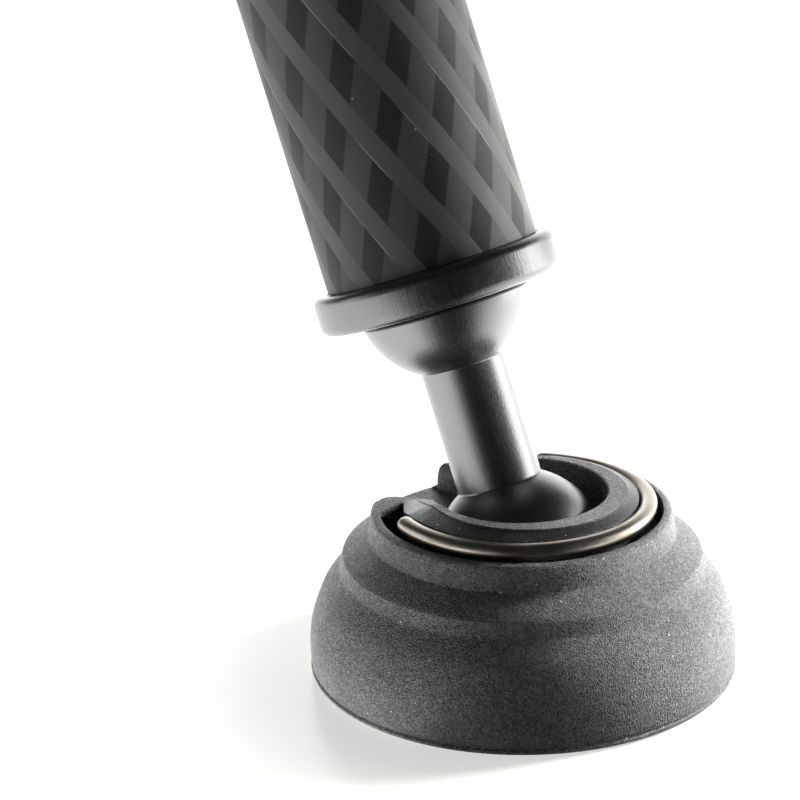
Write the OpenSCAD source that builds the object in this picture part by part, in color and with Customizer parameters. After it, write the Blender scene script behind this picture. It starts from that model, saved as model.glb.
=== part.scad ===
// Camera monopod: four telescoping carbon tubes with twist locks, a grip and a camera platform
// at the top, and a rubber foot on a ball joint at the bottom. The foot stands on the plane z = 0
// with its centre at the origin, and the leg leans towards -X over the notch in the foot.

/* [Stance] */
// Lean of the leg from the vertical, in degrees
lean = 20.5; // [0:0.5:24]
// Length by which the lowest tube is drawn out
lower_extension = 60; // [0:5:280]

/* [Rubber foot] */
// Diameter of the foot at the ground
foot_d = 50; // [46:1:60]
// Height of the straight wall at the ground
foot_wall_h = 3; // [2:0.5:5]
// Height at which the lower bell meets the middle tier
bell_h = 12.2; // [11.5:0.1:12.8]
// Width of the step from the bell to the middle tier
bell_step = 3.7; // [3:0.1:5]
// Half width of the ellipse that the bell's side follows
bell_curve = 7; // [6:0.25:9]
// Height of the middle tier's edge
tier_edge_h = 14; // [13.4:0.1:14.6]
// Inward draft of the middle tier's wall
tier_draft = 0.4; // [0.2:0.1:0.8]
// Height at which the rim rises from the middle tier
tier_h = 16.2; // [15.8:0.1:16.8]
// Rubber under the ball
sole_t = 3.2; // [2.5:0.1:4.5]
// Depth of the grooves in the sole
tread_depth = 1; // [0.5:0.1:1.5]
// Inner diameter of the collar around the ball, at its top
collar_bore_d = 20; // [18.8:0.2:21]
// Wall of the collar
collar_w = 3.6; // [3:0.1:4.2]
// Height of the collar's top above the ball's centre
collar_rise = 8; // [7:0.1:9]
// Drop from the collar's top to the rim's top
rim_drop = 2.2; // [1.6:0.1:3]
// Width of the groove between collar and rim
groove_w = 2.8; // [2.4:0.1:3.2]
// Depth of that groove below the rim
groove_depth = 3.6; // [3:0.1:4.2]
// Wall of the rim
rim_w = 1.5; // [1.2:0.1:1.9]
// Inward draft of the rim's outer wall
rim_draft = 0.4; // [0.1:0.1:0.5]
// Clear width of the notch that the neck can drop into
notch_w = 10.6; // [10.6:0.2:12]
// Height of the notch's floor above the ball's centre
notch_rise = 2.2; // [1.6:0.1:3]
// Distance of the groove's ends from the ball's axis, towards the notch
groove_reach = 11.7; // [11:0.1:12.4]
// Drop of the collar's top at the notch
collar_dip = 1.7; // [1:0.1:2]
// Slope by which the collar's top falls to the notch, in degrees
dip_slope = 21; // [16:1:30]

/* [Snap ring] */
// Diameter of the spring wire
wire_d = 2; // [1.6:0.1:2.2]
// Open angle of the ring, in degrees
wire_gap = 120; // [95:1:140]

/* [Ball stud] */
// Diameter of the ball
ball_d = 20; // [19.4:0.2:21]
// Diameter of the neck
neck_d = 10; // [8:0.5:10.5]
// Distance from the ball's centre to the dome's centre
stem_l = 32; // [28:0.5:40]
// Diameter of the dome
dome_d = 20; // [17:0.5:22]
// Height cut off the dome above its centre line
dome_cut = 1.6; // [0.5:0.1:2.5]
// Major diameter of the stud's thread
stud_d = 9.525; // [7.9:0.025:9.6]
// Length of the stud's thread
stud_l = 12; // [8:1:16]
// Thickness of the washer under the dome
stud_washer_t = 0.4; // [0.3:0.1:1]

/* [Leg tubes] */
// Outer diameter of the lowest tube
tube_4_d = 25; // [24:0.5:28]
// Growth in diameter from one tube to the next
tube_step = 4; // [3.6:0.1:5]
// Wall of the tubes
tube_wall = 1.2; // [0.8:0.1:1.3]
// Length of the uppermost tube
tube_1_l = 360; // [300:10:450]
// Length of the guide shells on the tubes' upper ends
guide_l = 24; // [16:1:32]
// Gap between the two halves of a guide
guide_gap = 1.2; // [0.8:0.1:2]
// Diameter of the flange that closes the lowest tube
flange_d = 29; // [27.5:0.5:33]
// Thickness of that flange
flange_h = 4.6; // [3.5:0.1:6]
// Depth of the end plug in the lowest tube
plug_l = 18; // [16:1:26]

/* [Twist locks] */
// Height of a lock ring
lock_h = 26; // [24:1:34]
// Thickness of the lip at a lock ring's lower end
lock_lip = 3; // [2.6:0.1:4]
// Wall of a lock ring
lock_wall = 1.4; // [1.1:0.1:2]
// Thickness of the rubber on a lock ring
lock_rubber = 1.3; // [1:0.1:2]
// Number of finger grooves around a lock's rubber
lock_grooves = 24; // [16:2:36]
// Height of the flange below that rubber
lock_flange_h = 2; // [1.6:0.1:3]
// Thickness of a lock's wiper seal
seal_t = 1.5; // [1:0.1:1.8]
// Width of that seal
seal_w = 2; // [1.6:0.1:2.4]
// Thickness of a lock's slip washer
slip_t = 1; // [0.6:0.1:1.4]
// Length of a lock's collet
collet_l = 14; // [11:0.5:15]
// Wall of the collet at its thick end
collet_w = 2.6; // [2.3:0.1:2.8]
// Taper of the collet, in millimetres of radius per millimetre
collet_taper = 0.08; // [0.05:0.01:0.1]
// Width of the collet's slits
collet_slit = 1.6; // [1:0.1:2.4]
// Wall of a ferrule around its tube
ferrule_w = 1.9; // [1.7:0.1:2.6]
// Length of a ferrule's bond on its tube
bond_l = 12; // [9:1:18]
// Gap between neighbouring locks when the leg is closed
lock_gap = 1.5; // [1:0.1:3]

/* [Grip] */
// Length of the rubber grip
grip_l = 146; // [100:2:180]
// Thickness of the grip
grip_t = 4; // [3:0.25:6]
// Number of rings cut into the grip
grip_rings = 9; // [5:1:13]
// Width of the trim rings at the grip's ends
trim_w = 6; // [4:0.5:10]

/* [Camera platform] */
// Diameter of the platform
platform_d = 56; // [50:1:64]
// Thickness of the platform
platform_t = 6; // [5:0.5:9]
// Diameter of the top plug's head
head_d = 41; // [40:0.5:46]
// Height of the top plug's head
head_h = 7; // [5:0.5:10]
// Depth of the top plug in the uppermost tube
spigot_l = 20; // [14:1:28]
// Diameter of the boss that carries the platform
boss_d = 26; // [22:0.5:28]
// Height of that boss below the platform
boss_h = 5; // [3:0.5:8]
// Depth of the boss in the platform
boss_seat = 2.5; // [1.5:0.25:3]
// Width of the platform's edge left free around its rubber pad
pad_rim = 6.5; // [6.5:0.25:8]
// Thickness of the pad
pad_t = 1.6; // [1:0.1:2.5]
// Diameter of the hole in the pad
pad_bore_d = 16; // [12:0.5:20]
// Major diameter of the camera screw
screw_d = 9.525; // [6.35:0.025:9.6]
// Length of the camera screw above the pad
screw_reach = 10; // [6:0.5:14]
// Depth of the relief below the camera screw's thread
screw_relief = 0.5; // [0.3:0.1:0.8]
// Major diameter of the screw's other end
screw_small_d = 6.35; // [5:0.05:6.35]
// Length of that other end
screw_small_l = 11; // [8:0.5:16]
// Diameter of the set screws
set_screw_d = 4; // [3:0.5:4.5]
// Length of the set screws
set_screw_l = 6; // [5:0.5:8]
// Number of set screws
set_screws_n = 3; // [2:1:6]

/* [Clearances] */
// Radial play of the ball in its socket
socket_play = 0.1; // [0.05:0.01:0.2]
// Radial play of sliding and turning fits
slide_play = 0.1; // [0.05:0.01:0.15]
// Radial gap of bonded and screwed fits
bond_play = 0.05; // [0.02:0.01:0.08]
// Radial gap around a tube where it leaves a lock
mouth_play = 0.35; // [0.2:0.05:0.6]

/* [Hidden] */
$fn = 96;

// Small values shared by several pieces
edge = 0.6;
over = 1;
lock_n = 3;

// Foot, measured from the ground
ball_r = ball_d / 2;
neck_r = neck_d / 2;
dome_r = dome_d / 2;
socket_r = ball_r + socket_play;
ball_z = sole_t + socket_r;
foot_r = foot_d / 2;
tier_r = foot_r - bell_step;
bell_turn = acos((bell_curve - bell_step) / bell_curve);
bell_rise = (bell_h - foot_wall_h) / sin(bell_turn);
collar_bore_r = collar_bore_d / 2;
collar_r = collar_bore_r + collar_w;
rim_bore_r = collar_r + groove_w;
rim_r = rim_bore_r + rim_w;
collar_z = ball_z + collar_rise;
rim_z = collar_z - rim_drop;
groove_z = rim_z - groove_depth;
notch_z = ball_z + notch_rise;
rim_round = 0.6 * (rim_w - rim_draft);
collar_chamfer = 0.8;
// The socket closes over the ball up to this height, where its mouth is narrower than the ball
lip_z = ball_z + 0.41 * ball_r;
lip_r = sqrt(pow(socket_r, 2) - pow(lip_z - ball_z, 2));
tread_in = 0.36 * foot_r;
tread_out = 0.64 * foot_r;
tread_w = 1.5;

// Snap ring, seated on the collar's side
wire_r = wire_d / 2;
wire_path_r = collar_r + slide_play + wire_r;
wire_z = collar_z - collar_chamfer - 0.8;

// Leg, measured along its axis from the ball's centre
stud_r = stud_d / 2;
dome_flat = stem_l - dome_cut;
flange_z = dome_flat + stud_washer_t;
tube_4_z = flange_z + flange_h;

function tube_r(k) = (tube_4_d + (4 - k) * tube_step) / 2;
function tube_bore_r(k) = tube_r(k) - tube_wall;

// Twist lock number k clamps tube k + 1 at the lower end of tube k
slip_z = lock_lip;
collet_z = slip_z + slip_t;
tube_seat = collet_z + collet_l + 2;
ferrule_top = max(tube_seat + bond_l, lock_h + 4);
lock_pitch = ferrule_top + lock_gap;
skirt_z = collet_z + 5;

function lock_z(k) = tube_4_z + lock_gap + lower_extension + (lock_n - k) * lock_pitch;
function ferrule_r(k) = tube_r(k) + ferrule_w;
function lock_bore_r(k) = ferrule_r(k) + slide_play;
function lock_ring_r(k) = lock_bore_r(k) + lock_wall;
function lock_grip_r(k) = lock_ring_r(k) + bond_play + lock_rubber;
function collet_r(k, z) = tube_r(k + 1) + collet_w - collet_taper * (z - collet_z);

// Ends of the tubes
function tube_z(k) = k == 4 ? tube_4_z : lock_z(k) + tube_seat;
tube_1_top = tube_z(1) + tube_1_l;
end_gap = 4;
nest_gap = 1;
function tube_top(k) =
    k == 1 ? tube_1_top
    : k == 2 ? tube_1_top - spigot_l - end_gap
    : k == 3 ? tube_top(2) - nest_gap
    : tube_top(3) - nest_gap - lower_extension;

// Top, measured up from the uppermost tube's end
boss_top = head_h + boss_h;
platform_top = boss_top + platform_t;
pad_top = platform_top + pad_t;
screw_r = screw_d / 2;
screw_small_r = screw_small_d / 2;
screw_small_z = head_h - screw_small_l;
set_screw_r = set_screw_d / 2;
pad_r = platform_d / 2 - pad_rim;
set_screw_pcd_r = platform_d / 2 - pad_rim / 2;
grip_z = -trim_w - grip_l;

// Points along an elliptical arc about a centre, from angle a0 to angle a1
function arc(centre, rx, ry, a0, a1, n = 8) =
    [for (i = [0 : n]) let (a = a0 + (a1 - a0) * i / n) centre + [rx * cos(a), ry * sin(a)]];

// Places a piece on the leg, at a distance along it from the ball's centre
module on_leg(z = 0) {
    translate([0, 0, ball_z]) rotate([0, -lean, 0]) translate([0, 0, z]) children();
}

// A turned ring with broken outer edges
module ring(inner, outer, height, bevel = 0) {
    rotate_extrude()
        polygon([
            [inner, 0], [outer - bevel, 0], [outer, bevel],
            [outer, height - bevel], [outer - bevel, height], [inner, height]
        ]);
}

// Foot

// Outline of the foot with its groove still filled, from the axis at the ground to the axis on top
foot_outline = concat(
    [[0, 0], [foot_r - edge, 0], [foot_r, edge]],
    arc([foot_r - bell_curve, foot_wall_h], bell_curve, bell_rise, 0, bell_turn),
    [[tier_r - tier_draft, tier_edge_h], [rim_r, tier_h]],
    arc([rim_r - rim_draft - rim_round, rim_z - rim_round], rim_round, rim_round, 0, 90, 4),
    [[rim_bore_r, rim_z]],
    [[collar_r, collar_z - collar_chamfer], [collar_r - collar_chamfer, collar_z], [0, collar_z]]
);

module rubber_foot() {
    mouth_slope = (collar_bore_r - lip_r) / (collar_z - lip_z);
    mouth_low = lip_z - over;
    mouth_high = collar_z + over;
    color("#2b2b2c") difference() {
        rotate_extrude() polygon(foot_outline);
        translate([0, 0, ball_z]) sphere(r = socket_r);
        translate([0, 0, mouth_low])
            cylinder(
                r1 = lip_r - mouth_slope * over,
                r2 = collar_bore_r + mouth_slope * over,
                h = mouth_high - mouth_low
            );
        difference() {
            translate([0, 0, groove_z]) ring(collar_r, rim_bore_r, collar_z - groove_z + over);
            translate([-foot_r - groove_reach, -foot_r, groove_z - over])
                cube([foot_r, foot_d, collar_z - groove_z + 3 * over]);
        }
        notch();
        for (side = [0, 1]) mirror([0, side, 0]) collar_slope();
        for (r = [tread_in, tread_out]) translate([0, 0, -over]) ring(r, r + tread_w, tread_depth + over);
    }
}

// Straight channel from the ball out through the side that the leg leans to
module notch() {
    translate([-foot_r - over, -notch_w / 2, notch_z])
        cube([foot_r + over, notch_w, collar_z + over - notch_z]);
}

// Sloping cut by which the collar's top falls to the notch
module collar_slope() {
    translate([-collar_r - over, notch_w / 2, collar_z - collar_dip])
        rotate([dip_slope, 0, 0]) translate([0, -over, 0])
            cube([collar_r + over, collar_r, 3 * collar_dip]);
}

module snap_ring() {
    color("#8a8478") translate([0, 0, wire_z])
        rotate([0, 0, 180 + wire_gap / 2])
            rotate_extrude(angle = 360 - wire_gap) translate([wire_path_r, 0]) circle(r = wire_r);
}

// Ball stud

module ball_stud() {
    color("#3a3a3b") on_leg() {
        sphere(r = ball_r);
        cylinder(r = neck_r, h = dome_flat);
        intersection() {
            translate([0, 0, stem_l]) sphere(r = dome_r);
            cylinder(r = dome_r + over, h = dome_flat);
        }
        cylinder(r = stud_r, h = dome_flat + stud_washer_t + stud_l);
    }
}

module stud_washer() {
    dome_top_r = sqrt(pow(dome_r, 2) - pow(dome_cut, 2));
    color("#151515") on_leg(dome_flat) ring(stud_r + slide_play, dome_top_r - edge, stud_washer_t);
}

// Leg tubes

module tube(k) {
    color("#3f3f3d") on_leg(tube_z(k)) difference() {
        cylinder(r = tube_r(k), h = tube_top(k) - tube_z(k));
        translate([0, 0, -over]) cylinder(r = tube_bore_r(k), h = tube_top(k) - tube_z(k) + 2 * over);
    }
}

module end_plug() {
    spigot_r = tube_bore_r(4) - bond_play;
    color("#4a4a4b") on_leg(flange_z) difference() {
        union() {
            ring(stud_r, flange_d / 2, flange_h, edge);
            ring(stud_r, spigot_r, flange_h + plug_l, edge);
        }
        translate([0, 0, -over]) cylinder(r = stud_r + bond_play, h = stud_l + 2 * over);
    }
}

// Two half shells on a tube's upper end that slide in the next tube up
module guide(k) {
    color("#1d1d1d") on_leg(tube_top(k) - guide_l) difference() {
        ring(tube_r(k) + bond_play, tube_bore_r(k - 1) - slide_play, guide_l);
        translate([-tube_r(k) - over - tube_step, -guide_gap / 2, -over])
            cube([2 * (tube_r(k) + over + tube_step), guide_gap, guide_l + 2 * over]);
    }
}

// Twist locks

// Sleeve bonded on tube k, with a thread outside its skirt and a taper inside it
module ferrule(k) {
    bore = tube_r(k) + bond_play;
    taper_play = slide_play + 0.02;
    shoulder_z = lock_h + 0.8;
    shoulder_r = lock_ring_r(k);
    color("#4a4a4b") on_leg(lock_z(k)) rotate_extrude() polygon([
        [collet_r(k, skirt_z) + taper_play, skirt_z],
        [ferrule_r(k), skirt_z],
        [ferrule_r(k), shoulder_z],
        [shoulder_r, shoulder_z],
        [shoulder_r, ferrule_top - edge],
        [shoulder_r - edge, ferrule_top],
        [bore, ferrule_top],
        [bore, tube_seat],
        [collet_r(k, tube_seat) + taper_play, tube_seat]
    ]);
}

// Tapered sleeve around tube k + 1, slit through on one side and part way on three more
module collet(k) {
    inner = tube_r(k + 1) + slide_play;
    color("#26282a") on_leg(lock_z(k)) difference() {
        rotate_extrude() polygon([
            [inner, collet_z],
            [collet_r(k, collet_z), collet_z],
            [collet_r(k, collet_z + collet_l), collet_z + collet_l],
            [inner, collet_z + collet_l]
        ]);
        for (i = [0 : 3]) rotate([0, 0, 90 * i])
            translate([0, -collet_slit / 2, collet_z + (i == 0 ? -over : 0.3 * collet_l)])
                cube([inner + collet_w + over, collet_slit, collet_l + 2 * over]);
    }
}

// Nut that screws up the ferrule and pushes the collet into its taper
module lock_ring(k) {
    mouth = tube_r(k + 1) + mouth_play;
    seat = tube_r(k + 1) + slide_play + seal_w + bond_play;
    color("#454546") on_leg(lock_z(k)) rotate_extrude() polygon([
        [seat, 0],
        [lock_grip_r(k) - edge, 0],
        [lock_grip_r(k), edge],
        [lock_grip_r(k), lock_flange_h],
        [lock_ring_r(k), lock_flange_h],
        [lock_ring_r(k), lock_h - edge],
        [lock_ring_r(k) - edge, lock_h],
        [lock_bore_r(k), lock_h],
        [lock_bore_r(k), lock_lip],
        [mouth, lock_lip],
        [mouth, seal_t + bond_play],
        [seat, seal_t + bond_play]
    ]);
}

// Rubber sleeve on a lock ring, with finger grooves along it
module lock_grip(k) {
    length = lock_h - lock_flange_h - 2 * edge;
    outer = lock_grip_r(k);
    groove_r = 0.8 * lock_rubber;
    color("#1c1c1c") on_leg(lock_z(k) + lock_flange_h) difference() {
        ring(lock_ring_r(k) + bond_play, outer, length, edge / 2);
        for (i = [0 : lock_grooves - 1]) rotate([0, 0, 360 * i / lock_grooves])
            translate([outer + 0.5 * groove_r, 0, -over])
                cylinder(r = groove_r, h = length + 2 * over, $fn = 24);
    }
}

module lock_seal(k) {
    inner = tube_r(k + 1) + slide_play;
    color("#101010") on_leg(lock_z(k)) ring(inner, inner + seal_w, seal_t);
}

module lock_washer(k) {
    color("#e6e2d8") on_leg(lock_z(k) + slip_z)
        ring(tube_r(k + 1) + mouth_play, lock_bore_r(k) - slide_play, slip_t);
}

// Grip and camera platform

module grip_sleeve() {
    inner = tube_r(1) + bond_play;
    outer = tube_r(1) + grip_t;
    cut_w = 3;
    cut_d = 0.8;
    pitch = grip_l / (grip_rings + 1);
    color("#1f1f20") on_leg(tube_1_top + grip_z) difference() {
        ring(inner, outer, grip_l, 2 * edge);
        for (i = [1 : grip_rings]) translate([0, 0, i * pitch - cut_w / 2])
            ring(outer - cut_d, outer + over, cut_w);
    }
}

module trim_ring() {
    color("#4a4a4b") ring(tube_r(1) + bond_play, tube_r(1) + grip_t - edge, trim_w, edge);
}

module grip_ring_lower() { on_leg(tube_1_top + grip_z - trim_w) trim_ring(); }

module grip_ring_upper() { on_leg(tube_1_top - trim_w) trim_ring(); }

// Plug in the uppermost tube, with a head that closes it and a boss that carries the platform
module top_plug() {
    boss_r = boss_d / 2;
    color("#4a4a4b") on_leg(tube_1_top) difference() {
        union() {
            translate([0, 0, -spigot_l]) ring(0, tube_bore_r(1) - bond_play, spigot_l, edge);
            ring(0, head_d / 2, head_h, edge);
            ring(0, boss_r, boss_top + boss_seat - bond_play);
        }
        translate([0, 0, head_h]) cylinder(r = screw_r + bond_play, h = boss_top + boss_seat);
        translate([0, 0, screw_small_z - over])
            cylinder(r = screw_small_r + bond_play, h = screw_small_l + 2 * over);
    }
}

module platform() {
    r = platform_d / 2;
    under_r = r - platform_t;
    color("#4a4a4b") on_leg(tube_1_top + boss_top) difference() {
        rotate_extrude() polygon([
            [0, 0], [under_r, 0], [r, platform_t / 2],
            [r, platform_t - edge], [r - edge, platform_t], [0, platform_t]
        ]);
        translate([0, 0, -over]) cylinder(r = boss_d / 2 + bond_play, h = boss_seat + over);
        translate([0, 0, -over]) cylinder(r = screw_r + bond_play, h = platform_t + 2 * over);
        for_set_screws() translate([0, 0, -over])
            cylinder(r = set_screw_r + bond_play, h = platform_t + 2 * over);
    }
}

module platform_pad() {
    color("#171717") on_leg(tube_1_top + platform_top) ring(pad_bore_d / 2, pad_r, pad_t, pad_t / 4);
}

// Double-ended screw: the large thread stands up for the camera, the small one is stored below
module camera_screw() {
    color("#9a9a98") on_leg(tube_1_top) {
        difference() {
            translate([0, 0, head_h]) cylinder(r = screw_r, h = pad_top + screw_reach - head_h);
            translate([0, 0, platform_top])
                ring(screw_r - screw_relief, screw_r + over, pad_t + screw_relief);
        }
        translate([0, 0, screw_small_z]) cylinder(r = screw_small_r, h = screw_small_l + over);
    }
}

module for_set_screws() {
    for (i = [0 : set_screws_n - 1]) rotate([0, 0, 360 * (i + 0.5) / set_screws_n])
        translate([set_screw_pcd_r, 0, 0]) children();
}

module set_screws() {
    color("#77777a") on_leg(tube_1_top + boss_top) for_set_screws()
        translate([0, 0, platform_t - edge - set_screw_l]) cylinder(r = set_screw_r, h = set_screw_l);
}

rubber_foot();
snap_ring();
ball_stud();
stud_washer();
end_plug();
tube(1);  // tube_1
tube(2);  // tube_2
tube(3);  // tube_3
tube(4);  // tube_4
guide(2);  // guide_2
guide(3);  // guide_3
guide(4);  // guide_4
ferrule(1);  // lock_1_ferrule
collet(1);  // lock_1_collet
lock_ring(1);  // lock_1_ring
lock_grip(1);  // lock_1_grip
lock_seal(1);  // lock_1_seal
lock_washer(1);  // lock_1_washer
ferrule(2);  // lock_2_ferrule
collet(2);  // lock_2_collet
lock_ring(2);  // lock_2_ring
lock_grip(2);  // lock_2_grip
lock_seal(2);  // lock_2_seal
lock_washer(2);  // lock_2_washer
ferrule(3);  // lock_3_ferrule
collet(3);  // lock_3_collet
lock_ring(3);  // lock_3_ring
lock_grip(3);  // lock_3_grip
lock_seal(3);  // lock_3_seal
lock_washer(3);  // lock_3_washer
grip_sleeve();
grip_ring_lower();
grip_ring_upper();
top_plug();
platform();
platform_pad();
camera_screw();
set_screws();
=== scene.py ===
# %% [markdown]
# # A camera monopod, seen at its foot
# The leg of a monopod ends in a ball stud, and the ball sits in a rubber foot that can tilt under
# it. This lesson dresses the measured solids of such a leg: each cell makes one piece or one
# finish, says how the real one is made, and prints what came out. Solids that already have the
# right shape are kept, and those that are seen close up are drawn again with finer edges.

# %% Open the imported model
import bpy
import bmesh
import math
from mathutils import Matrix, Vector


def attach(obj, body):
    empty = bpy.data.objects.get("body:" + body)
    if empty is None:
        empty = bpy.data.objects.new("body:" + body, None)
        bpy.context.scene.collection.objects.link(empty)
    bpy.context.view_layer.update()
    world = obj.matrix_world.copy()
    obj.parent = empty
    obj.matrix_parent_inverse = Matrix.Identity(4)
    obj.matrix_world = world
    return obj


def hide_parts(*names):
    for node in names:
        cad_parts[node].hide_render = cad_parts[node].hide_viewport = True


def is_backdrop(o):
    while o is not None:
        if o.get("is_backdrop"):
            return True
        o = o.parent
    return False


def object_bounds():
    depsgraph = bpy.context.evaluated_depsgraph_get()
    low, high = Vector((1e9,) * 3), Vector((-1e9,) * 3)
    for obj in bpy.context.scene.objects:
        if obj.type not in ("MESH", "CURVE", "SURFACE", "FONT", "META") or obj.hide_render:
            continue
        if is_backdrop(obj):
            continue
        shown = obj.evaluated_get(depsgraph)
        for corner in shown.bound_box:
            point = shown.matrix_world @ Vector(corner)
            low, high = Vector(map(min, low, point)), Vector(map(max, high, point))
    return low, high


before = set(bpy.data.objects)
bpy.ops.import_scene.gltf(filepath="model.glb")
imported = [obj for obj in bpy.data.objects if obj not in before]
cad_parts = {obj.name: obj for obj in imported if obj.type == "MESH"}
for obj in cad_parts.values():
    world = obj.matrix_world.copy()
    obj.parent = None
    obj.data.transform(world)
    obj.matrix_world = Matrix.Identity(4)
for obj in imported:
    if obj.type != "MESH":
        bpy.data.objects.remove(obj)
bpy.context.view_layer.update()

# %% [markdown]
# ## Sizes
# Everything is worked out in millimetres, as on a drawing, and turned into metres at the end. The
# foot stands at the origin. The leg has its own axis, which starts at the ball's centre and leans
# towards -X, so its pieces are drawn upright first and then tipped into place. Drawing them leaning
# would also work, but every outline would then need its own trigonometry.

# %% Sizes from the drawing
MM = 0.001
LEAN = math.radians(20.5)
VIEW = math.radians(36.5)  # turn of the camera round the foot, from the -Y side towards +X
BALL_Z = 13.3
BALL_R, NECK_R, DOME_R, STEM = 10.0, 5.0, 10.0, 32.0
DOME_FLAT = 30.4
FLANGE_LOW, FLANGE_TOP, FLANGE_R = 30.8, 35.4, 14.5
TUBE_R = {1: 18.5, 2: 16.5, 3: 14.5, 4: 12.5}
TUBE_WALL = 1.2
LOCK_LOW = {1: 163.9, 2: 130.4, 3: 96.9}
TUBE_1_TOP = 543.9
RIM_BORE, RIM_Z = 16.4, 19.14
COLLAR_R, COLLAR_BORE, COLLAR_Z = 13.6, 10.0, 21.3
NOTCH_HALF, NOTCH_FLOOR = 5.3, 15.5
on_leg = Matrix.Translation((0, 0, BALL_Z * MM)) @ Matrix.Rotation(-LEAN, 4, "Y")
upright = Matrix.Identity(4)
leg_axis = on_leg.to_3x3() @ Vector((0, 0, 1))
print("the leg's axis points along", tuple(round(v, 3) for v in leg_axis))

# %% [markdown]
# ## Turning a piece on a lathe
# Most of a monopod is turned or moulded round an axis. An outline of radius and height is spun
# once round, the seam is merged, and edges that are meant to be crisp are marked so that the
# smooth shading stops there. A screw modifier could do the same, but a mesh that is finished at
# once is easier to cut and to count.


# %% Helpers for turned pieces
def arc(cx, cz, rx, rz, start, end, count):
    """Points along an elliptical arc, angles in degrees."""
    turns = [math.radians(start + (end - start) * i / count) for i in range(count + 1)]
    return [(cx + rx * math.cos(t), cz + rz * math.sin(t)) for t in turns]


def spun(outline, steps=192):
    """A mesh from an outline of (radius, height), closed and turned once round Z."""
    bm = bmesh.new()
    ring = [bm.verts.new((r, 0, z)) for r, z in outline]
    edges = [bm.edges.new((a, b)) for a, b in zip(ring, ring[1:])]
    if outline[0][0] > 1e-6 or outline[-1][0] > 1e-6:
        edges.append(bm.edges.new((ring[-1], ring[0])))
    bmesh.ops.spin(bm, geom=ring + edges, cent=(0, 0, 0), axis=(0, 0, 1), angle=2 * math.pi,
                   steps=steps, use_merge=True)
    bmesh.ops.remove_doubles(bm, verts=bm.verts, dist=1e-4)
    bmesh.ops.recalc_face_normals(bm, faces=bm.faces)
    return bm


def crisp(bm, degrees):
    """Smooth shading, broken at edges that turn by more than the angle."""
    limit = math.radians(degrees)
    for face in bm.faces:
        face.smooth = True
    for edge in bm.edges:
        edge.smooth = not edge.is_manifold or edge.calc_face_angle(0) < limit


def piece(bm, name, body, material, stands_for=(), place=upright, degrees=32):
    """Puts a mesh drawn in millimetres into the scene in metres, on its body."""
    crisp(bm, degrees)
    bmesh.ops.transform(bm, matrix=place @ Matrix.Scale(MM, 4), verts=bm.verts)
    mesh = bpy.data.meshes.new(name)
    bm.to_mesh(mesh)
    bm.free()
    obj = bpy.data.objects.new(name, mesh)
    bpy.context.scene.collection.objects.link(obj)
    mesh.materials.append(material)
    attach(obj, body)
    if stands_for:
        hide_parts(*stands_for)
    print(f"{name}: {len(mesh.polygons)} faces on {body}")
    return obj


# %% [markdown]
# ## Building finishes from nodes
# A finish is a small network: a place on the piece goes in, patterns are worked out from it, and
# colour, roughness and bump come out. The place is taken from the piece's own coordinates, so the
# pattern stays on the piece when it moves. The helper below keeps the networks short to write.


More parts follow.
